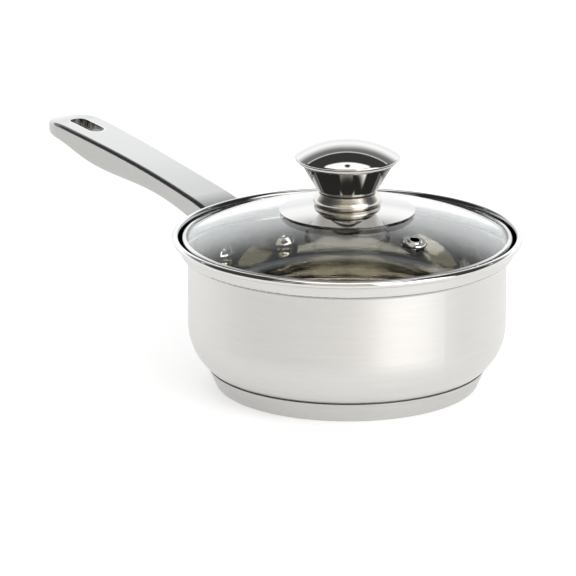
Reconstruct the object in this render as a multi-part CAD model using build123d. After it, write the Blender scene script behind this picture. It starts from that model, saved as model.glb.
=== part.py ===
from build123d import *

import math
import os

# Saucepan with a glass lid, in millimetres.
# The pan's axis is Z, its base rests on Z = 0, and the handle runs out along -X.
# Outlines of turned pieces are drawn as (radius, height).

# ---- clearances ----
FIT = 0.05                  # between pieces of one assembly that are pressed or welded together
LID_CLEARANCE = 0.3         # between the lid and the pan, all round
THREAD_CLEARANCE = 0.05     # radial, knob screw in its bush

# ---- pan ----
BORE_RADIUS = 80.0          # inside of the straight wall
PAN_SHEET = 0.6
RIM_HEIGHT = 78.5           # top of the rolled lip above the table
CORNER_RADIUS = 27.4        # inside bend from the floor to the wall
LIP_RADIUS = 1.75           # outside of the rolled lip
LIP_CURL = 280.0            # how far the lip is rolled over, degrees
COLLAR_LEAN = 12.0          # flare of the collar above the ledge, degrees
LEDGE_DEPTH = 8.7           # from the top of the lip down to the outer corner of the ledge
LEDGE_STEP = 3.7            # how far the ledge stands outside the bore
LEDGE_RISE = 1.8
LEDGE_BEND = 1.2

# ---- bonded base ----
CORE_THICKNESS = 4.0
BASE_SHEET = 0.6
BASE_HEIGHT = 10.3
BASE_GAP = 0.45             # groove between the cap's edge and the pan
BASE_FLARE = 4.4            # how much wider the cap is at its edge than at its foot
BASE_FOOT_BEND = 2.5
CORE_GROOVE = 0.8           # the core stops this far below the cap's edge

# ---- handle ----
HANDLE_LENGTH = 181.5       # from the pan wall to the tip
HANDLE_SHEET = 1.0
NECK_AT = 39.4              # from the wall
WAIST_AT = 79.4             # from the wall
BELLY_FROM_TIP = 42.8
TAIL_FROM_TIP = 18.5        # where the rounded nose begins
ROOT_BELOW_RIM = 19.1       # the top line, below the rim
NECK_BELOW_RIM = 6.2
TIP_ABOVE_RIM = 9.3         # the top line produced to the tip, without its droop
TOP_CROWN = 1.85            # how far the top line bulges above its chord
TIP_DROOP = 3.4             # how far the nose turns down
DROOP_LENGTH = 24.0
ROOT_DEPTH = 18.3           # thickness below the top line
SHANK_DEPTH = 14.5
NECK_DEPTH = 12.4
WAIST_DEPTH = 11.0
BELLY_DEPTH = 13.1
TAIL_DEPTH = 9.2
TIP_DEPTH = 6.9
ROOT_WIDTH = 26.8
NECK_WIDTH = 25.4
WAIST_WIDTH = 24.4
TAIL_WIDTH = 27.4
TOP_EDGE = 2.2              # fillet along the upper edge
LOWER_EDGE = 2.6            # fillet along the lower edge
SEAM_RISE = 3.4             # weld seam between the shells, above the lower edge
SLOT_LENGTH = 25.0
SLOT_WIDTH = 9.2
SLOT_FROM_TIP = 15.8        # end of the hang slot to the tip
LINER_SHEET = 0.9

# ---- handle bracket and rivets ----
BRACKET_SHEET = 1.8
BRACKET_MARGIN = 7.3        # from a rivet's centre to the bracket's end
BRACKET_HEIGHT = 25.0
BRACKET_CORNER = 8.0
SOCKET_SHEET = 1.4
SOCKET_REACH = 30.0
RIVET_BELOW_RIM = 28.0
RIVET_GAP = 0.9             # between a rivet's closed head and the handle
RIVET_SHANK_RADIUS = 2.4
RIVET_HEAD_RADIUS = 7.0
RIVET_HEAD_HEIGHT = 3.0
RIVET_TAIL_RADIUS = 4.4
RIVET_TAIL_HEIGHT = 1.4

# ---- lid ----
DOME_RADIUS = 215.0         # outside of the glass
GLASS_EDGE_RISE = 6.84      # outside of the glass at its edge, above the ledge
GLASS_THICKNESS = 4.0
GLASS_TO_BAND = 0.3
BAND_SHEET = 0.5
BAND_PLAY = 0.1             # extra play of the band inside the collar
BAND_TOP_WIDTH = 2.0        # top flange of the band over the glass
BAND_SEAT_WIDTH = 2.4       # lower flange of the band on the ledge
BAND_BEND = 0.8
GASKET_SETBACK = 0.2
VENT_AT = 55.0              # radius of the steam vent, opposite the handle
VENT_BORE_RADIUS = 2.4
VENT_BARREL_SHEET = 0.7
VENT_FLANGE_RADIUS = 6.0
VENT_FLANGE_HEIGHT = 0.9
VENT_FLANGE_SLOPE = 0.4     # how much smaller the flange is on top
VENT_MOUTH_HEIGHT = 1.6     # raised lip round the vent's bore
VENT_MOUTH_FOOT = 1.5       # width of that lip where it meets the flange
VENT_MOUTH_WIDTH = 1.0
VENT_CLINCH = 1.2           # how far the barrel is turned out under the glass
VENT_EDGE = 0.15            # fillet of the eyelet's edges
VENT_GASKET_RADIUS = 6.3
VENT_GASKET_THICKNESS = 0.6
VENT_WASHER_THICKNESS = 0.6

# ---- knob ----
SCREW_RADIUS = 2.5
SCREW_REACH = 7.8           # of the screw into the bush
SCREW_HEAD_RADIUS = 4.8
SCREW_HEAD_HEIGHT = 2.8
RECESS_WIDTH = 1.0          # cross recess in the screw head
RECESS_DEPTH = 1.4
GLASS_HOLE_RADIUS = 4.5
UNDER_GASKET_RADIUS = 9.0
UNDER_GASKET_THICKNESS = 1.2
WASHER_RADIUS = 8.0
WASHER_THICKNESS = 0.8
LOCK_WASHER_RADIUS = 4.4
LOCK_WASHER_THICKNESS = 1.1
LOCK_WASHER_SPLIT = 0.8
LOCK_WASHER_PITCH = 30.0    # slant of the split, degrees
PLATE_RADIUS = 34.3
PLATE_SHEET = 0.7
PLATE_DOME_RADIUS = 156.0
PLATE_EDGE_GAP = 0.13       # between the plate's edge and the glass
PLATE_GASKET_RADIUS = 15.5
NECK_RADIUS = 14.7
COLLAR_FOOT_FLARE = 1.9     # how much wider the collar is at its foot than at the neck
COLLAR_BULGE_FLARE = 3.0    # and at its widest place, just above the foot
COLLAR_BULGE_RISE = 2.3
COLLAR_HEIGHT = 6.3
COLLAR_SHEET = 0.8
COLLAR_BENDS = (2.6, 1.0)
NECK_LINE = 0.6             # setback of the insulating washer between the collar and the cup
NECK_WASHER_THICKNESS = 0.6
CUP_SHEET = 0.7
CUP_HEIGHT = 16.1
CUP_FOOT_STEP = 0.3         # how much wider the cup's foot is than the neck
CUP_RING_RADIUS = 24.7
CUP_RING_HEIGHT = 1.5
CUP_RING_STEP = 0.5
CUP_RING_FLARE = 1.3        # how much wider the ring is than the cup just below it
CUP_FOOT_BEND = 1.0
CUP_RING_BENDS = (0.3, 0.8)
KNOB_OVERHANG = 1.8         # of the cap beyond the cup's ring
KNOB_RIM_RADIUS = 0.95
KNOB_RISE = 9.35            # top of the knob above the underside of its cap
KNOB_SHEET = 0.7
BUSH_RADIUS = 5.0
BUSH_FLANGE_RADIUS = 9.5
BUSH_FLANGE_THICKNESS = 1.4
BUSH_LENGTH = 11.0

# ---- derived places ----
WALL_RADIUS = BORE_RADIUS + PAN_SHEET
FLOOR_UNDERSIDE = BASE_SHEET + CORE_THICKNESS
FLOOR_TOP = FLOOR_UNDERSIDE + PAN_SHEET
LEDGE_RADIUS = BORE_RADIUS + LEDGE_STEP
LEDGE_TOP = RIM_HEIGHT - LEDGE_DEPTH
LEDGE_SLOPE = LEDGE_RISE / LEDGE_STEP
BRACKET_INNER = WALL_RADIUS + FIT
BRACKET_OUTER = BRACKET_INNER + BRACKET_SHEET
TIP_AT = WALL_RADIUS + HANDLE_LENGTH
DROOP_AT = TIP_AT - DROOP_LENGTH
ROOT_TOP = RIM_HEIGHT - ROOT_BELOW_RIM
NECK_TOP = RIM_HEIGHT - NECK_BELOW_RIM
TIP_TOP = RIM_HEIGHT + TIP_ABOVE_RIM
RIVET_HEIGHT = RIM_HEIGHT - RIVET_BELOW_RIM
RIVET_ASIDE = ROOT_WIDTH / 2 + RIVET_GAP + RIVET_TAIL_RADIUS
BAND_RADIUS = LEDGE_RADIUS - LID_CLEARANCE - BAND_PLAY
GLASS_RADIUS = BAND_RADIUS - BAND_SHEET - GLASS_TO_BAND
DOME_CENTRE = LEDGE_TOP + GLASS_EDGE_RISE - math.sqrt(DOME_RADIUS ** 2 - GLASS_RADIUS ** 2)
GLASS_UNDERSIDE = DOME_CENTRE + DOME_RADIUS - GLASS_THICKNESS
COLLAR_FOOT_RADIUS = NECK_RADIUS + COLLAR_FOOT_FLARE
CUP_TOP_RADIUS = CUP_RING_RADIUS - CUP_RING_FLARE
KNOB_RADIUS = CUP_RING_RADIUS + KNOB_OVERHANG
THROUGH = 400.0             # longer than any piece, for cuts that run right through


def dome_height(radius, depth=0.0):
    """Height of the glass's outside, or of the sphere that lies depth under it."""
    return DOME_CENTRE + math.sqrt((DOME_RADIUS - depth) ** 2 - radius ** 2)


def plate_height(radius):
    """Height of the knob plate's upper face, whose edge lies just over the glass."""
    edge = dome_height(PLATE_RADIUS) + PLATE_EDGE_GAP + PLATE_SHEET
    centre = edge - math.sqrt(PLATE_DOME_RADIUS ** 2 - PLATE_RADIUS ** 2)
    return centre + math.sqrt(PLATE_DOME_RADIUS ** 2 - radius ** 2)


def ledge_height(radius):
    """Height of the pan's inner ledge, which the lid rests on."""
    return LEDGE_TOP + (radius - LEDGE_RADIUS) * LEDGE_SLOPE


def turned(outline):
    """A solid of revolution from a closed outline or a face in (radius, height)."""
    face = outline if isinstance(outline, Face) else make_face(outline)
    return revolve(Plane.XZ * face, Axis.Z)


def turned_sheet(line, sheet, side):
    """A turned sheet whose one face is the given open line; side says where the sheet lies."""
    edge = Wire(line.edges())
    return turned(make_face(edge.offset_2d(sheet, kind=Kind.INTERSECTION, side=side)))


def ring(inner, outer, low, high):
    """A plain turned ring."""
    return turned(Polyline((inner, low), (outer, low), (outer, high), (inner, high), close=True))


# ---- pan body ----
def rivet_places():
    """One location for each rivet: on the wall's inside, Z pointing outwards."""
    spread = math.degrees(math.asin(RIVET_ASIDE / BORE_RADIUS))
    turns = {"handle_rivet_left": spread, "handle_rivet_right": -spread}
    outwards = Pos(BORE_RADIUS, 0, RIVET_HEIGHT) * Rot(0, 90, 0)
    return {name: Rot(0, 0, 180 + turn) * outwards for name, turn in turns.items()}


def rivet_holes():
    hole = Cylinder(RIVET_SHANK_RADIUS + FIT, 8 * BRACKET_SHEET)
    return [place * hole for place in rivet_places().values()]


def make_pan_shell():
    lean = math.radians(COLLAR_LEAN)
    roll_height = RIM_HEIGHT - LIP_RADIUS * (1 - math.sin(lean))
    roll_start = (LEDGE_RADIUS + (roll_height - LEDGE_TOP) * math.tan(lean), roll_height)
    wall = FilletPolyline(
        (0, FLOOR_TOP),
        (BORE_RADIUS, FLOOR_TOP),
        (BORE_RADIUS, ledge_height(BORE_RADIUS)),
        (LEDGE_RADIUS, LEDGE_TOP),
        roll_start,
        radius=(CORNER_RADIUS, LEDGE_BEND, LEDGE_BEND),
    )
    lip = JernArc(roll_start, (math.sin(lean), math.cos(lean)), LIP_RADIUS, -LIP_CURL)
    return turned_sheet(wall + lip, PAN_SHEET, Side.RIGHT) - rivet_holes()


def base_edge_radius():
    """Outer radius of the base cap's edge, a groove's width outside the pan's bottom bend."""
    bend = CORNER_RADIUS + PAN_SHEET
    drop = FLOOR_TOP + CORNER_RADIUS - BASE_HEIGHT
    pan_radius = BORE_RADIUS - CORNER_RADIUS + math.sqrt(bend ** 2 - drop ** 2)
    return pan_radius + BASE_GAP + BASE_SHEET


def base_outside():
    edge = base_edge_radius()
    return FilletPolyline((0, 0), (edge - BASE_FLARE, 0), (edge, BASE_HEIGHT), radius=BASE_FOOT_BEND)


def make_base_cap():
    return turned_sheet(base_outside(), BASE_SHEET, Side.LEFT)


def make_base_core(pan_shell, base_cap):
    """Aluminium that fills the cap up to the underside of the pan."""
    side = base_outside()
    filled = turned(side + Polyline(side @ 1, (0, BASE_HEIGHT), (0, 0)))
    below_edge = ring(0, base_edge_radius(), 0, BASE_HEIGHT - CORE_GROOVE)
    core = (filled & below_edge) - base_cap - pan_shell
    return core.solids().sort_by(Axis.Z)[0]


# ---- handle, drawn outwards along +X and turned to -X at the end ----
def top_line(distance):
    """Height of the handle's top, at a distance from the pan's axis beyond the neck."""
    neck = WALL_RADIUS + NECK_AT
    share = (distance - neck) / (TIP_AT - neck)
    droop = TIP_DROOP * (max(distance - DROOP_AT, 0) / DROOP_LENGTH) ** 2
    return NECK_TOP + (TIP_TOP - NECK_TOP) * share + 4 * TOP_CROWN * share * (1 - share) - droop


def handle_places():
    """Distances from the pan's axis to the handle's neck, waist, belly and tail."""
    neck = WALL_RADIUS + NECK_AT
    return neck, WALL_RADIUS + WAIST_AT, TIP_AT - BELLY_FROM_TIP, TIP_AT - TAIL_FROM_TIP


def lower_line(inset):
    neck, waist, belly, tail = handle_places()
    shank = WALL_RADIUS + NECK_AT / 2
    shank_top = (ROOT_TOP + NECK_TOP) / 2 + TOP_CROWN
    return Spline(
        (BORE_RADIUS, ROOT_TOP - ROOT_DEPTH + inset),
        (shank, shank_top - SHANK_DEPTH + inset),
        (neck, NECK_TOP - NECK_DEPTH + inset),
        (waist, top_line(waist) - WAIST_DEPTH + inset),
        (belly, top_line(belly) - BELLY_DEPTH + inset),
        (tail, top_line(tail) - TAIL_DEPTH + inset),
        (TIP_AT - inset, top_line(TIP_AT) - TIP_DEPTH + inset),
    )


def handle_body(inset=0.0):
    """The handle's solid envelope, or the same shape a sheet's thickness inside it."""
    neck, waist, _, tail = handle_places()
    middle = (neck + DROOP_AT) / 2
    top = ThreePointArc(
        (DROOP_AT, top_line(DROOP_AT) - inset), (middle, top_line(middle) - inset), (neck, NECK_TOP - inset))
    nose_top = TangentArc(top @ 0, (TIP_AT - inset, top_line(TIP_AT) - inset), tangent=-(top % 0))
    root = TangentArc(top @ 1, (BORE_RADIUS, ROOT_TOP - inset), tangent=top % 1)
    low = lower_line(inset)
    ends = Line(root @ 1, low @ 0) + Line(low @ 1, nose_top @ 1)
    side_view = extrude(Plane.XZ * make_face(top + nose_top + root + low + ends), TAIL_WIDTH, both=True)

    half_widths = (
        (BORE_RADIUS, ROOT_WIDTH / 2 - inset),
        (neck, NECK_WIDTH / 2 - inset),
        (waist, WAIST_WIDTH / 2 - inset),
        (tail, TAIL_WIDTH / 2 - inset),
    )
    edge = Spline(*half_widths, tangents=((1, -0.03), (1, 0)))
    nose = EllipticalCenterArc(
        (tail, 0), TIP_AT - inset - tail, TAIL_WIDTH / 2 - inset, start_angle=0, arc_size=90)
    half = edge + nose + Polyline(nose @ 0, (BORE_RADIUS, 0), half_widths[0])
    plan = make_face(half)
    plan += mirror(plan, Plane.XZ)
    return side_view & extrude(plan, THROUGH)


def along_edges(body, upper):
    """The handle's long upper or lower edges, without those of its root."""
    chosen = []
    for edge in body.edges():
        middle = edge @ 0.5
        level = abs((edge % 0.5).Z) < 0.9
        at_root = middle.X < BORE_RADIUS + FIT
        if level and not at_root and upper == (middle.Z > handle_middle(middle.X)):
            chosen.append(edge)
    return chosen


def handle_middle(distance):
    """A height between the handle's upper and lower edges, at a distance from the axis."""
    neck = WALL_RADIUS + NECK_AT
    if distance > neck:
        return top_line(distance) - TIP_DEPTH / 2
    share = (distance - BORE_RADIUS) / (neck - BORE_RADIUS)
    return ROOT_TOP + (NECK_TOP - ROOT_TOP) * share - NECK_DEPTH / 2


def rounded_handle(inset=0.0):
    body = handle_body(inset)
    if TOP_EDGE > inset:
        body = fillet(along_edges(body, True), TOP_EDGE - inset)
    if LOWER_EDGE > inset:
        body = fillet(along_edges(body, False), LOWER_EDGE - inset)
    return body


def slot(margin):
    """The hang slot's opening, grown by a margin all round."""
    centre = TIP_AT - SLOT_FROM_TIP - SLOT_LENGTH / 2
    outline = SlotOverall(SLOT_LENGTH + 2 * margin, SLOT_WIDTH + 2 * margin)
    return extrude(Pos(centre, 0, 0) * outline, THROUGH)


def bracket_core():
    """Everything inside the bracket's outer face, which the handle's root butts against."""
    return Pos(0, 0, RIVET_HEIGHT) * Cylinder(BRACKET_OUTER + FIT, THROUGH)


def make_handle():
    """Upper shell, lower shell and the liner of the hang slot."""
    outer = rounded_handle()
    sheet = outer - rounded_handle(HANDLE_SHEET) - bracket_core() - slot(LINER_SHEET)
    seam = lower_line(SEAM_RISE)
    below = Polyline(seam @ 1, (TIP_AT + TAIL_WIDTH, (seam @ 1).Y), (TIP_AT + TAIL_WIDTH, 0), (0, 0),
                     (0, (seam @ 0).Y), seam @ 0)
    lower_space = extrude(Plane.XZ * make_face(seam + below), TAIL_WIDTH, both=True)
    return {
        "handle_upper_shell": sheet - lower_space,
        "handle_lower_shell": sheet & lower_space,
        "hang_slot_liner": (slot(LINER_SHEET) - slot(0)) & outer,
    }


def make_handle_bracket():
    """Saddle plate on the wall, with a socket that the hollow handle slides over."""
    width = 2 * (RIVET_ASIDE + BRACKET_MARGIN)
    outline = RectangleRounded(width, BRACKET_HEIGHT, BRACKET_CORNER)
    saddle = extrude(Plane.YZ * Pos(0, RIVET_HEIGHT) * outline, THROUGH)
    wall = Pos(0, 0, RIVET_HEIGHT) * Cylinder(BRACKET_INNER, THROUGH)
    plate = (saddle & bracket_core()) - wall
    socket = rounded_handle(HANDLE_SHEET + FIT) - handle_body(HANDLE_SHEET + FIT + SOCKET_SHEET)
    reach = Pos(0, 0, RIVET_HEIGHT) * Cylinder(BRACKET_OUTER + SOCKET_REACH, THROUGH)
    return plate + ((socket & reach) - wall)


def make_rivet(place):
    """A rivet with a domed head inside the pan and a low closed head on the bracket."""
    sphere = (RIVET_HEAD_RADIUS ** 2 + RIVET_HEAD_HEIGHT ** 2) / (2 * RIVET_HEAD_HEIGHT)
    grip = BRACKET_OUTER + FIT - BORE_RADIUS
    tail_sphere = (RIVET_TAIL_RADIUS ** 2 + RIVET_TAIL_HEIGHT ** 2) / (2 * RIVET_TAIL_HEIGHT)
    head = RadiusArc((0, -RIVET_HEAD_HEIGHT), (RIVET_HEAD_RADIUS, 0), -sphere)
    tail = RadiusArc((RIVET_TAIL_RADIUS, grip), (0, grip + RIVET_TAIL_HEIGHT), -tail_sphere)
    head_disc = turned(head + Polyline((RIVET_HEAD_RADIUS, 0), (RIVET_HEAD_RADIUS, PAN_SHEET),
                                       (0, PAN_SHEET), (0, -RIVET_HEAD_HEIGHT)))
    tail_disc = turned(tail + Polyline((0, grip + RIVET_TAIL_HEIGHT), (0, grip), (RIVET_TAIL_RADIUS, grip)))
    inside_pan = Pos(0, 0, RIVET_HEIGHT) * Cylinder(BORE_RADIUS - FIT, THROUGH)
    shank = ring(0, RIVET_SHANK_RADIUS, -RIVET_HEAD_HEIGHT / 2, grip)
    return ((place * head_disc) & inside_pan) + place * (shank + tail_disc)


# ---- lid ----
def vent_place():
    """On the glass's outside at the steam vent, Z along the outward normal."""
    tilt = math.degrees(math.asin(VENT_AT / DOME_RADIUS))
    return Pos(0, 0, DOME_CENTRE) * Rot(0, tilt, 0) * Pos(0, 0, DOME_RADIUS)


def vent_hole_radius():
    return VENT_BORE_RADIUS + VENT_BARREL_SHEET + FIT


def make_lid_glass():
    inner_radius = DOME_RADIUS - GLASS_THICKNESS
    top = RadiusArc((GLASS_HOLE_RADIUS, dome_height(GLASS_HOLE_RADIUS)),
                    (GLASS_RADIUS, dome_height(GLASS_RADIUS)), DOME_RADIUS)
    low = RadiusArc((GLASS_RADIUS, dome_height(GLASS_RADIUS, GLASS_THICKNESS)),
                    (GLASS_HOLE_RADIUS, dome_height(GLASS_HOLE_RADIUS, GLASS_THICKNESS)), -inner_radius)
    outline = top + low + Line(top @ 1, low @ 0) + Line(low @ 1, top @ 0)
    return turned(outline) - vent_place() * Cylinder(vent_hole_radius() + FIT, 4 * GLASS_THICKNESS)


def band_outside():
    """The band's outer line: over the glass, down its edge and in along the ledge."""
    edge_inner = BAND_RADIUS - BAND_TOP_WIDTH
    seat_inner = BAND_RADIUS - BAND_SEAT_WIDTH
    seat_gap = LID_CLEARANCE * math.hypot(1, LEDGE_SLOPE)
    over_glass = BAND_SHEET + FIT
    corners = (
        (edge_inner, dome_height(edge_inner) + over_glass),
        (BAND_RADIUS, dome_height(GLASS_RADIUS) + over_glass),
        (BAND_RADIUS, ledge_height(BAND_RADIUS) + seat_gap),
        (seat_inner, ledge_height(seat_inner) + seat_gap),
    )
    return FilletPolyline(*corners, radius=BAND_BEND)


def make_lid_band():
    return turned_sheet(band_outside(), BAND_SHEET, Side.RIGHT)


def make_lid_gasket(glass, band):
    """Silicone that fills the band under and around the glass."""
    outside = band_outside()
    filled = turned(outside + Line(outside @ 1, outside @ 0))
    inner = BAND_RADIUS - BAND_SEAT_WIDTH + GASKET_SETBACK
    space = ring(inner, WALL_RADIUS + LEDGE_STEP, ledge_height(BORE_RADIUS), dome_height(GLASS_RADIUS))
    return ((filled & space) - glass - band).solids().sort_by(SortBy.VOLUME)[-1]


def make_vent():
    """Eyelet, outer gasket and back washer of the steam vent."""
    place = vent_place()
    barrel = VENT_BORE_RADIUS + VENT_BARREL_SHEET
    under = -GLASS_THICKNESS - 2 * FIT
    clinch = under - VENT_WASHER_THICKNESS - FIT
    flange_low = VENT_GASKET_THICKNESS + FIT
    flange_top = flange_low + VENT_FLANGE_HEIGHT
    mouth_top = flange_low + VENT_MOUTH_HEIGHT
    eyelet = FilletPolyline(
        (VENT_BORE_RADIUS, clinch - VENT_BARREL_SHEET),
        (barrel + VENT_CLINCH, clinch - VENT_BARREL_SHEET),
        (barrel + VENT_CLINCH, clinch),
        (barrel, clinch),
        (barrel, flange_low),
        (VENT_FLANGE_RADIUS, flange_low),
        (VENT_FLANGE_RADIUS - VENT_FLANGE_SLOPE, flange_top),
        (VENT_BORE_RADIUS + VENT_MOUTH_FOOT, flange_top),
        (VENT_BORE_RADIUS + VENT_MOUTH_WIDTH, mouth_top),
        (VENT_BORE_RADIUS, mouth_top),
        radius=VENT_EDGE,
        close=True,
    )
    return {
        "vent_eyelet": place * turned(eyelet),
        "vent_gasket": place * ring(barrel + FIT, VENT_GASKET_RADIUS, FIT, VENT_GASKET_THICKNESS),
        "vent_back_washer": place * ring(
            barrel + FIT, VENT_FLANGE_RADIUS, under - VENT_WASHER_THICKNESS, under),
    }


# ---- knob ----
def make_knob_plate():
    hole = SCREW_RADIUS + FIT
    top = RadiusArc((hole, plate_height(hole)), (PLATE_RADIUS, plate_height(PLATE_RADIUS)), PLATE_DOME_RADIUS)
    return turned_sheet(top, PLATE_SHEET, Side.RIGHT)


def make_plate_gasket(glass, plate):
    """Silicone between the glass and the plate, with a spigot down the hole in the glass."""
    block = ring(SCREW_RADIUS + FIT, PLATE_GASKET_RADIUS, GLASS_UNDERSIDE, plate_height(0))
    return (block - glass - plate).solids().sort_by(SortBy.VOLUME)[-1]


def knob_heights():
    """Heights of the collar's foot and top, the cup's underside and top, and the cap's underside."""
    foot = plate_height(COLLAR_FOOT_RADIUS - 2 * COLLAR_SHEET) + FIT
    collar_top = foot + COLLAR_HEIGHT
    cup_low = collar_top + NECK_WASHER_THICKNESS + 2 * FIT
    cup_top = cup_low + CUP_HEIGHT
    return foot, collar_top, cup_low, cup_top, cup_top + FIT


def make_knob_collar():
    foot, collar_top, *_ = knob_heights()
    side = FilletPolyline(
        (COLLAR_FOOT_RADIUS, foot),
        (NECK_RADIUS + COLLAR_BULGE_FLARE, foot + COLLAR_BULGE_RISE),
        (NECK_RADIUS, collar_top),
        (SCREW_RADIUS + FIT, collar_top),
        radius=COLLAR_BENDS,
    )
    return turned_sheet(side, COLLAR_SHEET, Side.LEFT)


def make_neck_washer():
    _, collar_top, *_ = knob_heights()
    low = collar_top + FIT
    return ring(SCREW_RADIUS + FIT, NECK_RADIUS - NECK_LINE, low, low + NECK_WASHER_THICKNESS)


def make_knob_cup():
    _, _, cup_low, cup_top, _ = knob_heights()
    ring_low = cup_top - CUP_RING_HEIGHT
    side = FilletPolyline(
        (SCREW_RADIUS + FIT, cup_low),
        (NECK_RADIUS + CUP_FOOT_STEP, cup_low),
        (CUP_TOP_RADIUS, ring_low - CUP_RING_STEP),
        (CUP_RING_RADIUS, ring_low),
        (CUP_RING_RADIUS, cup_top),
        radius=(CUP_FOOT_BEND, *CUP_RING_BENDS),
    )
    return turned_sheet(side, CUP_SHEET, Side.LEFT)


def make_knob_cap():
    """Domed cap whose rim is rolled under and lies on the cup."""
    *_, low = knob_heights()
    reach = KNOB_RADIUS - KNOB_RIM_RADIUS
    crown = KNOB_RISE - KNOB_RIM_RADIUS
    sphere = (reach ** 2 + crown ** 2 - KNOB_RIM_RADIUS ** 2) / (2 * (crown - KNOB_RIM_RADIUS))
    slope = math.asin(reach / (sphere - KNOB_RIM_RADIUS))
    edge = (sphere * math.sin(slope), low + KNOB_RISE - sphere * (1 - math.cos(slope)))
    dome = RadiusArc((0, low + KNOB_RISE), edge, sphere)
    rim = JernArc(edge, (math.cos(slope), -math.sin(slope)), KNOB_RIM_RADIUS, math.degrees(slope) - 180)
    tuck = Line(rim @ 1, (CUP_TOP_RADIUS, low))
    return turned_sheet(dome + rim + tuck, KNOB_SHEET, Side.RIGHT)


def make_knob_bush():
    """Threaded bush in the bottom of the cup."""
    _, _, cup_low, *_ = knob_heights()
    low = cup_low + CUP_SHEET + FIT
    bore = SCREW_RADIUS + THREAD_CLEARANCE
    flange = ring(bore, BUSH_FLANGE_RADIUS, low, low + BUSH_FLANGE_THICKNESS)
    return flange + ring(bore, BUSH_RADIUS, low, low + BUSH_LENGTH)


def make_knob_fasteners(glass):
    """The screw from under the glass, with its silicone, flat and lock washers."""
    _, _, cup_low, *_ = knob_heights()
    screw_top = cup_low + CUP_SHEET + FIT + SCREW_REACH
    hole = SCREW_RADIUS + FIT
    gasket_low = GLASS_UNDERSIDE - UNDER_GASKET_THICKNESS
    washer_low = gasket_low - FIT - WASHER_THICKNESS
    lock_low = washer_low - FIT - LOCK_WASHER_THICKNESS
    head_top = lock_low - FIT
    head_low = head_top - SCREW_HEAD_HEIGHT
    gasket = (ring(hole, UNDER_GASKET_RADIUS, gasket_low, GLASS_UNDERSIDE) - glass).solids()
    split = Pos(LOCK_WASHER_RADIUS, 0, lock_low) * Rot(LOCK_WASHER_PITCH, 0, 0) * Box(
        2 * LOCK_WASHER_RADIUS - 2 * FIT, LOCK_WASHER_SPLIT, 4 * LOCK_WASHER_THICKNESS)
    head = turned(FilletPolyline(
        (0, head_low),
        (SCREW_HEAD_RADIUS, head_low),
        (SCREW_HEAD_RADIUS, head_top),
        radius=SCREW_HEAD_HEIGHT / 2,
    ) + Polyline((SCREW_HEAD_RADIUS, head_top), (0, head_top), (0, head_low)))
    shank = ring(0, SCREW_RADIUS, head_top - FIT, screw_top)
    recess = [
        Pos(0, 0, head_low) * Rot(0, 0, turn) * Box(SCREW_HEAD_RADIUS, RECESS_WIDTH, 2 * RECESS_DEPTH)
        for turn in (0, 90)
    ]
    return {
        "screw_gasket": gasket.sort_by(SortBy.VOLUME)[-1],
        "screw_washer": ring(hole, WASHER_RADIUS, washer_low, washer_low + WASHER_THICKNESS),
        "screw_lock_washer": ring(
            hole, LOCK_WASHER_RADIUS, lock_low, lock_low + LOCK_WASHER_THICKNESS) - split,
        "knob_screw": head + shank - recess,
    }


def main():
    pan_shell = make_pan_shell()
    base_cap = make_base_cap()
    turn = Rot(0, 0, 180)
    glass = make_lid_glass()
    band = make_lid_band()
    plate = make_knob_plate()
    nodes = {
        "pan_shell": pan_shell,
        "base_cap": base_cap,
        "base_core_disc": make_base_core(pan_shell, base_cap),
        "handle_bracket": turn * make_handle_bracket() - rivet_holes(),
        "lid_glass": glass,
        "lid_band": band,
        "lid_gasket": make_lid_gasket(glass, band),
        "knob_plate": plate,
        "plate_gasket": make_plate_gasket(glass, plate),
        "knob_collar": make_knob_collar(),
        "neck_washer": make_neck_washer(),
        "knob_cup": make_knob_cup(),
        "knob_cap": make_knob_cap(),
        "knob_bush": make_knob_bush(),
    }
    nodes.update({name: turn * piece for name, piece in make_handle().items()})
    nodes.update({name: make_rivet(place) for name, place in rivet_places().items()})
    nodes.update(make_vent())
    nodes.update(make_knob_fasteners(glass))

    os.makedirs("parts", exist_ok=True)
    for name, piece in nodes.items():
        export_step(piece, f"parts/{name}.step")
    print(len(nodes), "nodes")


main()
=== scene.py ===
import math

import bpy
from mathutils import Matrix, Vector


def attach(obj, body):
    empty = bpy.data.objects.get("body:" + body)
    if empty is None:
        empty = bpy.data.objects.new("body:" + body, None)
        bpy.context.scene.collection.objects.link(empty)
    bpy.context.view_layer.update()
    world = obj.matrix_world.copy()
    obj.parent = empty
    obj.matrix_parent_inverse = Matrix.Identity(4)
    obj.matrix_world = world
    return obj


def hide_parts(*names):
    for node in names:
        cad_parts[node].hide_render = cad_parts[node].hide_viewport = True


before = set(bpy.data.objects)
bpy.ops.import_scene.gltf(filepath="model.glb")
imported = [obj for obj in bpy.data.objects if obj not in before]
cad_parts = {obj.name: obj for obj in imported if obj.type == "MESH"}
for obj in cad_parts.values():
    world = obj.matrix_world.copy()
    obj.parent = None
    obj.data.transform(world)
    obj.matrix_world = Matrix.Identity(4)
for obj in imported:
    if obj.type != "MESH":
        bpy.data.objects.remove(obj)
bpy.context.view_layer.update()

# ---- the pan's driving sizes, in metres ----
WALL_MIDDLE = 0.0803        # radius of the middle of the wall's sheet
BEND_RADIUS = 0.0277        # bottom bend, at the middle of the sheet
BEND_HEIGHT = 0.0326        # of the bend's centre
LEDGE_HEIGHT = 0.0690
COLLAR_MIDDLE = 0.0840      # radius of the middle of the collar's sheet at the ledge
COLLAR_FLARE = 0.2126
LIP_HEIGHT = 0.0752         # the rolled lip is polished above this
INSIDE_SHADE_HEIGHT = 0.035       # below this the inside is painted lighter and warmer; above it the painted shade is darker
SHEET_SOFTNESS = 0.0002     # how sharply a mask divides the two faces of a sheet
AXIS_GUARD = 1e-8           # keeps the radius off zero on the axis
BRACKET_FACE = 0.08245      # radius of the bracket's outer face

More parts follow.
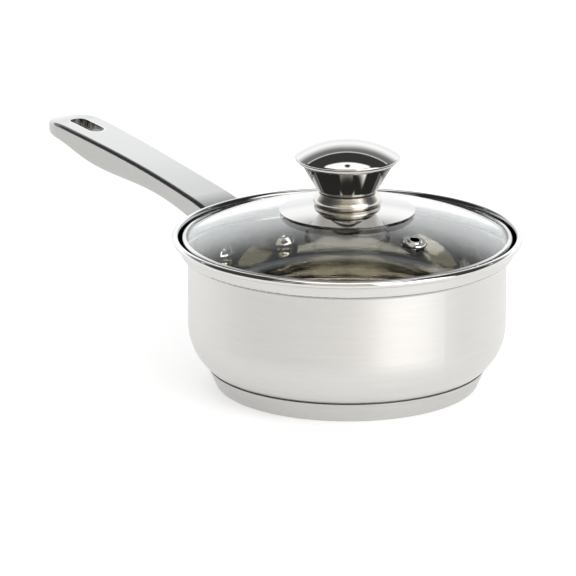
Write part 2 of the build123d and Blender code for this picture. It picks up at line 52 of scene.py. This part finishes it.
# ---- the handle's brushed lines, which climb as x falls towards the tip ----
HANDLE_SLOPE = 0.16
HANDLE_CURVE = 0.15         # per metre

# ---- weld bead round the handle's root ----
ROOT_MIDDLE = 0.0517        # height of the root's middle
ROOT_WIDTH = 0.0268
ROOT_HEIGHT = 0.0178
ROOT_CORNER = 0.0024
BEAD_RADIUS = 0.0007
BEAD_STEP = 0.0011          # from one ripple to the next
BEAD_RIPPLE = 0.10          # of the bead's radius
BEAD_STEPS = 480            # along the bead
BEAD_SIDES = 14
CORNER_STEPS = 8

# ---- base cap ----
BASE_FOOT_RADIUS = 0.06618
BASE_EDGE_RADIUS = 0.07058
BASE_RISE = 0.01030
BASE_SHEET = 0.0006
BASE_BEND = 0.0025
GROOVED_RADIUS = 0.0610
GROOVE_DEPTH = 0.00012
GROOVE_SPACING = 0.0016
GROOVE_FADE = 0.002         # the grooves die out over this radius
MERGE_DISTANCE = 0.00001
BEND_STEPS = 10
ROUND_STEPS = 240
SECTION_STEPS = 380

# ---- the view ----
VIEW_AZIMUTH = math.radians(53.0)
VIEW_ELEVATION = math.radians(16.864)
VIEW_DISTANCE = 2.5354
LENS = 312.5
SENSOR = 36.0
AIM_HEIGHT = 0.035
AIM_ASIDE = 0.011808        # of the distance
AIM_UP = 0.00554            # of the distance
FAR_CLIP = 50.0

# ---- studio ----
FLOOR_SIZE = 12.0
FLOOR_GLOW = 0.46
DIFFUSE_LIGHT = 0.85        # what matt surfaces get from the room

# ---- the room that polished steel and glass reflect: angles in degrees, spans as (from, to, softness) ----
SWEEP_LIGHT = 1.35          # of the pale sweep behind the table
SWEEP_GAIN = 0.30           # it is this much brighter higher up
SWEEP_GAIN_EDGE = (18.0, 8.0)
SWEEP_TOP_EDGE = (35.0, 20.0)
SWEEP_SHORTER_ASIDE = 10.0  # its top comes down this much towards the sides
HEM_LIGHT = 0.8             # a bright strip above the sweep
HEM = (47.5, 49.5, 1.5)
BEHIND_TOP_EDGE = (50.0, 1.5)
BEHIND_LOW_EDGE = (-100.0, 10.0)
CEILING_LIGHT = 0.07
OVERHEAD_LIGHT = 2.0        # soft box over the table; its spans are slopes
OVERHEAD_ASIDE = (-0.36, 0.36, 0.05)
OVERHEAD_TOWARD = (-0.38, 0.45, 0.05)
OVERHEAD_LOW_EDGE = (0.1, 0.05)
HUB_TOWARD = -0.27          # the dark hub in the overhead box
HUB_EDGE = (0.045, 0.03)
SIDE_LIGHT = 3.4
SIDE_TURN = (21.0, 70.0, 9.0)
SIDE_TOP_EDGE = (50.0, 8.0)
LEFT_LIGHT = 0.5
LEFT_TURN = (-50.0, -34.0, 6.0)
LEFT_HEIGHT = (12.0, 44.0, 6.0)
FRONT_LIGHT = 0.85
FRONT_TURN = (-30.0, 22.0, 6.0)
FRONT_HEIGHT = (9.0, 56.0, 5.0)
COOL_LIGHT = (0.97, 0.99, 1.0)
WARM_LIGHT = (1.0, 0.98, 0.955)
WARM_EDGE = (70.0, 40.0)
FRONT_TINT = (1.0, 0.92, 0.74)
WHITE = (1.0, 1.0, 1.0)


# ---- node expressions ----
class Value:
    """An output socket; arithmetic on it adds Math nodes to its tree."""

    def __init__(self, owner, socket):
        self.owner = owner
        self.socket = socket

    def maths(self, operation, *terms):
        """A Math node on this value and other values or numbers."""
        return self.owner.node("ShaderNodeMath", {"operation": operation}, terms=(self, *terms))

    def __add__(self, other):
        return self.maths("ADD", other)

    __radd__ = __add__

    def __sub__(self, other):
        return self.maths("SUBTRACT", other)

    def __rsub__(self, other):
        return self.owner.node("ShaderNodeMath", {"operation": "SUBTRACT"}, terms=(other, self))

    def __mul__(self, other):
        return self.maths("MULTIPLY", other)

    __rmul__ = __mul__

    def __truediv__(self, other):
        return self.maths("DIVIDE", other)

    def root(self):
        return self.maths("SQRT")

    def at_least(self, floor):
        return self.maths("MAXIMUM", floor)

    def either(self, other):
        return self.maths("MAXIMUM", other)

    def above(self, edge, softness):
        """0 below an edge and 1 above it, changing smoothly over the softness."""
        return self.owner.node("ShaderNodeMapRange", {"interpolation_type": "SMOOTHSTEP"}, Value=self,
                               From_Min=edge - softness / 2, From_Max=edge + softness / 2)

    def below(self, edge, softness):
        return 1.0 - self.above(edge, softness)

    def between(self, low, high, softness):
        return self.above(low, softness) * self.below(high, softness)


class Tree:
    """A node tree, and the nodes that go into it."""

    def __init__(self, tree):
        self.tree = tree

    def plug(self, socket, term):
        """Sets a socket to a number, colour or vector, or links a value to it."""
        if isinstance(term, Value):
            self.tree.links.new(term.socket, socket)
        else:
            socket.default_value = term

    def node(self, kind, settings=None, output=0, terms=(), **named):
        """Any node: its settings first, then its sockets by place or by name."""
        made = self.tree.nodes.new(kind)
        for key, setting in (settings or {}).items():
            setattr(made, key, setting)
        for place, term in enumerate(terms):
            self.plug(made.inputs[place], term)
        for name, term in named.items():
            self.plug(made.inputs[name.replace("_", " ")], term)
        return Value(self, made.outputs[output])

    def parts(self, vector):
        """The x, y and z of a vector."""
        split = self.node("ShaderNodeSeparateXYZ", terms=(vector,)).socket.node
        return [Value(self, output) for output in split.outputs]

    def joined(self, x, y, z):
        return self.node("ShaderNodeCombineXYZ", X=x, Y=y, Z=z)


class Shade(Tree):
    """The tree of a material or a world."""

    def __init__(self, owner, output):
        owner.use_nodes = True
        super().__init__(owner.node_tree)
        self.shader = self.tree.nodes[output]

    def feed(self, **named):
        """What the tree's own shader gets."""
        for name, term in named.items():
            self.plug(self.shader.inputs[name.replace("_", " ")], term)

    def place(self, output="Object"):
        """The point on the object, in metres, or the direction in a world."""
        return self.node("ShaderNodeTexCoord", output=output)

    def noise(self, vector, scale, detail=2.0, roughness=0.5):
        return self.node("ShaderNodeTexNoise", Vector=vector, Scale=scale, Detail=detail, Roughness=roughness)

    def colour(self, factor, low, high):
        """A colour between two, each a colour or a value, by a factor."""
        ends = [end if isinstance(end, Value) else (*end, 1.0) for end in (low, high)]
        mixed = self.node("ShaderNodeMix", {"data_type": "RGBA"})
        mixing = mixed.socket.node
        sockets = [socket for socket in mixing.inputs if socket.type == "RGBA"]
        self.plug(mixing.inputs["Factor"], factor)
        self.plug(sockets[0], ends[0])
        self.plug(sockets[1], ends[1])
        return Value(self, [socket for socket in mixing.outputs if socket.type == "RGBA"][0])


class Finish(Shade):
    """A procedural material on a Principled shader."""

    def __init__(self, name, **constants):
        self.material = bpy.data.materials.new(name)
        super().__init__(self.material, "Principled BSDF")
        self.feed(**constants)

    def bump(self, height, distance, strength=1.0):
        self.feed(Normal=self.node("ShaderNodeBump", Height=height, Distance=distance, Strength=strength))


class Rule(Tree):
    """A Geometry Nodes tree with named sizes, and the piece that it makes."""

    def __init__(self, name, **sizes):
        super().__init__(bpy.data.node_groups.new(name, "GeometryNodeTree"))
        self.name = name
        self.sizes = sizes
        self.tree.interface.new_socket("Geometry", in_out="OUTPUT", socket_type="NodeSocketGeometry")
        self.inputs = {
            size: self.tree.interface.new_socket(size, in_out="INPUT", socket_type="NodeSocketFloat")
            for size in sizes
        }
        self.given = self.tree.nodes.new("NodeGroupInput")

    def size(self, name):
        """One of the tree's named sizes."""
        return Value(self, self.given.outputs[name])

    def chosen(self, index, terms):
        """One term for each index, counted from 0."""
        pick = self.node("GeometryNodeIndexSwitch", {"data_type": "FLOAT"}, Index=index)
        switch = pick.socket.node
        while len(switch.index_switch_items) < len(terms):
            switch.index_switch_items.new()
        for place, term in enumerate(terms):
            self.plug(switch.inputs[place + 1], term)
        return pick

    def piece(self, shape, material, body, slot):
        """Ends the tree, and turns its result into a plain mesh that rides on a body."""
        real = self.node("GeometryNodeRealizeInstances", Geometry=shape)
        painted = self.node("GeometryNodeSetMaterial", Geometry=real, Material=material)
        ending = self.tree.nodes.new("NodeGroupOutput")
        self.plug(ending.inputs["Geometry"], painted)
        seed = bpy.data.objects.new(self.name + "_rule", bpy.data.meshes.new(self.name + "_rule"))
        bpy.context.scene.collection.objects.link(seed)
        modifier = seed.modifiers.new(self.name, "NODES")
        modifier.node_group = self.tree
        for size, value in self.sizes.items():
            modifier[self.inputs[size].identifier] = value
        ready = seed.evaluated_get(bpy.context.evaluated_depsgraph_get())
        mesh = bpy.data.meshes.new_from_object(ready)
        bpy.data.objects.remove(seed)
        made = bpy.data.objects.new(self.name, mesh)
        bpy.context.scene.collection.objects.link(made)
        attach(made, body)
        return made


# ---- finishes ----
def turned_place(finish):
    """Radius, height, and the cosine and sine of the angle round the axis."""
    x, y, z = finish.parts(finish.place())
    radius = (x * x + y * y).at_least(AXIS_GUARD).root()
    return radius, z, x / radius, y / radius


def round_brushing(finish, place, lines_per_metre, turns=4.0):
    """Long fine lines that run round the axis, with no seam."""
    radius, z, cosine, sine = place
    across = finish.joined(cosine * turns, sine * turns, (radius + z) * lines_per_metre)
    return finish.noise(across, 1.0, detail=3.0, roughness=0.65)


def satin_steel():
    """Brushed outside; smoother and faintly ringed inside, where the colour is painted shade: darker than the
    outside, lighter and warmer low down; the lip is polished.
    """
    finish = Finish("satin_steel_round_brushed", Metallic=1.0, Anisotropic=0.5, Anisotropic_Rotation=0.25)
    place = turned_place(finish)
    radius, z = place[:2]
    fine = round_brushing(finish, place, lines_per_metre=2600.0)
    broad = round_brushing(finish, place, lines_per_metre=420.0, turns=2.0)
    cloud = finish.noise(finish.place(), 18.0, detail=4.0)

    out = (radius - (WALL_MIDDLE - BEND_RADIUS)).at_least(0.0)
    down = (BEND_HEIGHT - z).at_least(0.0)
    in_bowl = (out * out + down * down).root().below(BEND_RADIUS, SHEET_SOFTNESS)
    collar = (z - LEDGE_HEIGHT) * COLLAR_FLARE + COLLAR_MIDDLE
    in_collar = (radius - collar).below(0.0, SHEET_SOFTNESS) * z.above(LEDGE_HEIGHT, 0.001)
    inside = in_bowl.either(in_collar)
    polished = z.above(LIP_HEIGHT, 0.0006).either(inside)

    outer = finish.colour(fine * 0.6 + broad * 0.4, (0.585, 0.575, 0.560), (0.715, 0.705, 0.690))
    # Painted shade: the inside of the sheet is painted darker than its outside, darkest up the wall and
    # lighter and warmer towards the bottom.
    warm_low_inside_shade = finish.colour(broad * 0.5 + cloud * 0.5, (0.47, 0.44, 0.37), (0.61, 0.575, 0.49))
    upper_inside_shade = finish.colour(broad * 0.5 + cloud * 0.5, (0.26, 0.265, 0.265), (0.34, 0.345, 0.345))
    inside_painted_shade = finish.colour(z.above(INSIDE_SHADE_HEIGHT, 0.03), warm_low_inside_shade, upper_inside_shade)
    finish.feed(
        Base_Color=finish.colour(inside, outer, inside_painted_shade),
        Roughness=(0.30 + fine * 0.10 + cloud * 0.04) * (1.0 - polished) + (0.015 + broad * 0.04) * polished,
    )
    finish.bump(fine * (1.0 - polished) + broad * polished * 1.5, 0.000012, 0.6)
    return finish.material


def base_steel():
    """Spun steel of the base cap, a little greyer than the wall."""
    finish = Finish("base_steel_spun", Metallic=1.0, Anisotropic=0.4, Anisotropic_Rotation=0.25)
    place = turned_place(finish)
    fine = round_brushing(finish, place, lines_per_metre=3000.0)
    broad = round_brushing(finish, place, lines_per_metre=700.0, turns=1.5)
    finish.feed(
        Base_Color=finish.colour(fine * 0.5 + broad * 0.5, (0.47, 0.465, 0.455), (0.66, 0.655, 0.645)),
        Roughness=0.33 + fine * 0.12,
    )
    finish.bump(fine, 0.00002, 0.6)
    return finish.material


def handle_steel():
    """Fine satin, brushed along the handle."""
    finish = Finish("handle_steel_long_brushed", Metallic=1.0)
    x, y, z = finish.parts(finish.place())
    rise = x * HANDLE_SLOPE + x * x * HANDLE_CURVE
    along = finish.joined(x * 14.0, y * 2600.0, (z + rise) * 2600.0)
    fine = finish.noise(along, 1.0, detail=3.0, roughness=0.65)
    cloud = finish.noise(finish.place(), 30.0, detail=3.0)
    finish.feed(
        Base_Color=finish.colour(fine * 0.7 + cloud * 0.3, (0.385, 0.38, 0.365), (0.505, 0.505, 0.50)),
        Roughness=0.08 + fine * 0.07 + cloud * 0.03,
    )
    finish.bump(fine, 0.00001, 0.35)
    return finish.material


def polished_steel(name="polished_steel", tint=(0.55, 0.54, 0.525), shine=0.012):
    """Mirror polish with faint rings from the buffing wheel."""
    finish = Finish(name, Metallic=1.0)
    place = turned_place(finish)
    rings = round_brushing(finish, place, lines_per_metre=1400.0, turns=3.0)
    cloud = finish.noise(finish.place(), 90.0, detail=4.0)
    finish.feed(
        Base_Color=finish.colour(cloud, tuple(0.92 * c for c in tint), tint),
        Roughness=shine + rings * 0.03 + cloud * 0.02,
    )
    finish.bump(rings, 0.000004, 0.4)
    return finish.material


def clear_glass():
    """Tempered glass, clear with a faint cool cast, and slightly uneven from tempering."""
    finish = Finish("tempered_glass", Transmission_Weight=1.0, IOR=1.45)
    smear = finish.noise(finish.place(), 25.0, detail=3.0)
    wave = finish.noise(finish.place(), 40.0, detail=1.0)
    finish.feed(
        Base_Color=finish.colour(smear, (0.925, 0.94, 0.935), (0.955, 0.965, 0.96)),
        Roughness=smear.above(0.62, 0.2) * 0.025,
    )
    finish.bump(wave, 0.00005, 0.3)
    return finish.material


def silicone():
    """Matt, milky silicone of the gaskets."""
    finish = Finish("clear_silicone")
    cloud = finish.noise(finish.place(), 400.0)
    finish.feed(
        Base_Color=finish.colour(cloud, (0.62, 0.65, 0.64), (0.72, 0.74, 0.73)),
        Roughness=0.45 + cloud * 0.2,
    )
    return finish.material


def black_plastic():
    """Matt black of the neck washer and the vent's gasket."""
    finish = Finish("black_washer_plastic")
    grain = finish.noise(finish.place(), 1500.0)
    finish.feed(
        Base_Color=finish.colour(grain, (0.010, 0.010, 0.010), (0.025, 0.025, 0.025)),
        Roughness=0.45 + grain * 0.15,
    )
    finish.bump(grain, 0.00002, 0.5)
    return finish.material


def cast_aluminium():
    """Dull grain of the disc that is bonded under the pan."""
    finish = Finish("bonded_aluminium", Metallic=1.0)
    grain = finish.noise(finish.place(), 900.0, detail=4.0)
    finish.feed(
        Base_Color=finish.colour(grain, (0.30, 0.30, 0.31), (0.44, 0.44, 0.45)),
        Roughness=0.45 + grain * 0.2,
    )
    finish.bump(grain, 0.00004, 0.5)
    return finish.material


def paint_nodes():
    """Gives each CAD node its material; a node that isn't named here is mirror polished."""
    polished = polished_steel()
    soft_polish = polished_steel("collar_steel", (0.66, 0.63, 0.585), 0.22)
    plated = polished_steel("plated_steel", (0.66, 0.66, 0.67), 0.16)
    handle = handle_steel()
    rubber = silicone()
    black = black_plastic()
    satin = satin_steel()
    finishes = {
        "pan_shell": satin,
        "base_cap": base_steel(),
        "base_core_disc": cast_aluminium(),
        "handle_bracket": satin,
        "handle_upper_shell": handle,
        "handle_lower_shell": handle,
        "lid_glass": clear_glass(),
        "lid_gasket": rubber,
        "plate_gasket": rubber,
        "screw_gasket": rubber,
        "knob_collar": soft_polish,
        "neck_washer": black,
        "vent_gasket": black,
        "knob_bush": plated,
        "knob_screw": plated,
        "screw_washer": plated,
        "screw_lock_washer": plated,
    }
    for name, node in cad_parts.items():
        node.data.materials.clear()
        node.data.materials.append(finishes.get(name, polished))
    return finishes


# ---- pieces made by rules ----
def weld_bead(material):
    """The rippled bead that joins the hollow handle's root to the bracket."""
    rule = Rule("handle_weld_bead", face_radius=BRACKET_FACE, middle=ROOT_MIDDLE, width=ROOT_WIDTH,
                height=ROOT_HEIGHT, corner=ROOT_CORNER, bead=BEAD_RADIUS, step=BEAD_STEP)
    outline = rule.node("GeometryNodeCurvePrimitiveQuadrilateral", Width=rule.size("width"),
                        Height=rule.size("height"))
    rounded = rule.node("GeometryNodeFilletCurve", {"mode": "POLY"}, Curve=outline, Count=CORNER_STEPS,
                        Radius=rule.size("corner"))
    path = rule.node("GeometryNodeResampleCurve", {"mode": "COUNT"}, Curve=rounded, Count=BEAD_STEPS)
    across, up, flat = rule.parts(rule.node("GeometryNodeInputPosition"))
    face_radius = rule.size("face_radius")
    out = (face_radius * face_radius - across * across).root()
    on_face = rule.joined(flat - out, across, up + rule.size("middle"))
    bent = rule.node("GeometryNodeSetPosition", Geometry=path, Position=on_face)
    run = rule.node("GeometryNodeSplineParameter", output=1)
    ripple = (run / rule.size("step") * math.tau).maths("SINE") * BEAD_RIPPLE + (1.0 - BEAD_RIPPLE / 2)
    wavy = rule.node("GeometryNodeSetCurveRadius", Curve=bent, Radius=ripple)
    section = rule.node("GeometryNodeCurvePrimitiveCircle", {"mode": "RADIUS"}, Resolution=BEAD_SIDES,
                        Radius=rule.size("bead"))
    bead = rule.node("GeometryNodeCurveToMesh", Curve=wavy, Profile_Curve=section)
    rule.piece(bead, material, "pan", "handle_steel")


def spun_cap(material):
    """The base cap, turned from its section, with the shallow grooves that spinning leaves underneath."""
    rule = Rule("base_cap_spun", foot=BASE_FOOT_RADIUS, edge=BASE_EDGE_RADIUS, rise=BASE_RISE,
                sheet=BASE_SHEET, bend=BASE_BEND, groove=GROOVE_DEPTH, spacing=GROOVE_SPACING,
                grooved=GROOVED_RADIUS)
    foot = rule.size("foot")
    edge = rule.size("edge")
    rise = rule.size("rise")
    sheet = rule.size("sheet")
    across = (0.0, foot, edge, edge - sheet, foot - sheet, 0.0)
    up = (0.0, 0.0, rise, rise, sheet, sheet)
    bent = (0.0, 1.0, 0.0, 0.0, 1.0, 0.0)
    corner = rule.node("GeometryNodeInputIndex")
    spot = rule.joined(rule.chosen(corner, across), rule.chosen(corner, up), 0.0)
    corners = rule.node("GeometryNodeMeshLine", Count=len(across))
    placed = rule.node("GeometryNodeSetPosition", Geometry=corners, Position=spot)
    line = rule.node("GeometryNodeMeshToCurve", Mesh=placed)
    bends = rule.chosen(corner, bent) * rule.size("bend")
    section = rule.node("GeometryNodeFilletCurve", {"mode": "POLY"}, Curve=line, Count=BEND_STEPS,
                        Radius=bends)
    grid = rule.node("GeometryNodeMeshGrid", Size_X=1.0, Size_Y=1.0, Vertices_X=ROUND_STEPS + 1,
                     Vertices_Y=SECTION_STEPS)
    turn, run = rule.parts(rule.node("GeometryNodeInputPosition"))[:2]
    point = rule.node("GeometryNodeSampleCurve", {"mode": "FACTOR"}, output=1, Curves=section,
                      Factor=run + 0.5)
    radius, height = rule.parts(point)[:2]
    wave = (radius / rule.size("spacing") * math.tau).maths("COSINE") * -0.5 + 0.5
    grooved = (radius - rule.size("grooved")).below(0.0, GROOVE_FADE)
    underneath = height.below(SHEET_SOFTNESS, SHEET_SOFTNESS)
    lift = wave * rule.size("groove") * grooved * underneath
    angle = turn * math.tau
    place = rule.joined(radius * angle.maths("COSINE"), radius * angle.maths("SINE"), height + lift)
    turned = rule.node("GeometryNodeSetPosition", Geometry=grid, Position=place)
    closed = rule.node("GeometryNodeMergeByDistance", Geometry=turned, Distance=MERGE_DISTANCE)
    cap = rule.piece(closed, material, "pan", "base_steel")
    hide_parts("base_cap")


# ---- studio ----
def floor():
    """White paper that glows a little, so that shadows on it stay pale."""
    bpy.ops.mesh.primitive_plane_add(size=FLOOR_SIZE)
    sheet = bpy.context.object
    sheet.name = "floor"
    paper = Finish("floor_paper", Emission_Color=(*WHITE, 1.0), Emission_Strength=FLOOR_GLOW)
    grain = paper.noise(paper.place(), 60.0)
    paper.feed(
        Base_Color=paper.colour(grain, (0.68, 0.68, 0.68), (0.70, 0.70, 0.70)),
        Roughness=0.7 + grain * 0.1,
    )
    sheet.data.materials.append(paper.material)


def room():
    """A bright sweep behind the table, a dark room in front, and soft boxes above, beside and in front."""
    world = bpy.data.worlds.new("room")
    bpy.context.scene.world = world
    air = Shade(world, "Background")
    x, y, z = air.parts(air.place("Generated"))
    toward = x * math.sin(VIEW_AZIMUTH) - y * math.cos(VIEW_AZIMUTH)
    aside = x * math.cos(VIEW_AZIMUTH) + y * math.sin(VIEW_AZIMUTH)
    turn = aside.maths("ARCTAN2", toward) * math.degrees(1)
    height = z.maths("ARCSINE") * math.degrees(1)
    over = z.maths("ARCTAN2", 0.0 - toward) * math.degrees(1)
    wide = over + aside.maths("ABSOLUTE") * SWEEP_SHORTER_ASIDE

    sweep = SWEEP_LIGHT + SWEEP_GAIN * wide.above(*SWEEP_GAIN_EDGE)
    sweep = sweep - SWEEP_LIGHT * wide.above(*SWEEP_TOP_EDGE)
    hem = HEM_LIGHT * over.between(*HEM)
    behind = (sweep + hem) * over.below(*BEHIND_TOP_EDGE) * over.above(*BEHIND_LOW_EDGE)
    ceiling = CEILING_LIGHT * over.above(*BEHIND_TOP_EDGE)

    overhead_x = aside / z.at_least(0.01)
    overhead_y = toward / z.at_least(0.01)
    overhead = overhead_x.between(*OVERHEAD_ASIDE) * overhead_y.between(*OVERHEAD_TOWARD)
    overhead = overhead * z.above(*OVERHEAD_LOW_EDGE)
    hub_y = overhead_y - HUB_TOWARD
    hub = (overhead_x * overhead_x + hub_y * hub_y).root().below(*HUB_EDGE)
    side_box = turn.between(*SIDE_TURN) * height.below(*SIDE_TOP_EDGE)
    left_box = turn.between(*LEFT_TURN) * height.between(*LEFT_HEIGHT)
    front_box = turn.between(*FRONT_TURN) * height.between(*FRONT_HEIGHT)
    boxes = overhead * (1.0 - hub) * OVERHEAD_LIGHT + side_box * SIDE_LIGHT
    boxes = boxes + left_box * LEFT_LIGHT + front_box * FRONT_LIGHT

    tint = air.colour(front_box, air.colour(over.above(*WARM_EDGE), COOL_LIGHT, WARM_LIGHT), FRONT_TINT)
    direct = air.node("ShaderNodeLightPath", output="Is Camera Ray")
    soft = air.node("ShaderNodeLightPath", output="Is Diffuse Ray")
    plain = direct.either(soft)
    air.feed(Color=air.colour(plain, tint, WHITE),
             Strength=(behind + ceiling + boxes) * (1.0 - plain) + direct + soft * DIFFUSE_LIGHT)


def camera():
    """A long lens that looks down at the pan from the side away from the handle."""
    right = Vector((math.cos(VIEW_AZIMUTH), math.sin(VIEW_AZIMUTH), 0))
    level = math.cos(VIEW_ELEVATION)
    back = Vector((math.sin(VIEW_AZIMUTH) * level, -math.cos(VIEW_AZIMUTH) * level, math.sin(VIEW_ELEVATION)))
    above = back.cross(right)
    target = Vector((0, 0, AIM_HEIGHT))
    data = bpy.data.cameras.new("camera")
    data.lens = LENS
    data.sensor_width = SENSOR
    data.clip_end = FAR_CLIP
    made = bpy.data.objects.new("camera", data)
    bpy.context.scene.collection.objects.link(made)
    made.location = target + back * VIEW_DISTANCE
    aim = target + (above * AIM_UP - right * AIM_ASIDE) * VIEW_DISTANCE
    made.rotation_euler = (aim - made.location).to_track_quat("-Z", "Y").to_euler()
    bpy.context.scene.camera = made


finishes = paint_nodes()
weld_bead(finishes["handle_upper_shell"])
spun_cap(finishes["base_cap"])
floor()
room()
camera()
bpy.context.scene.view_settings.view_transform = "Standard"
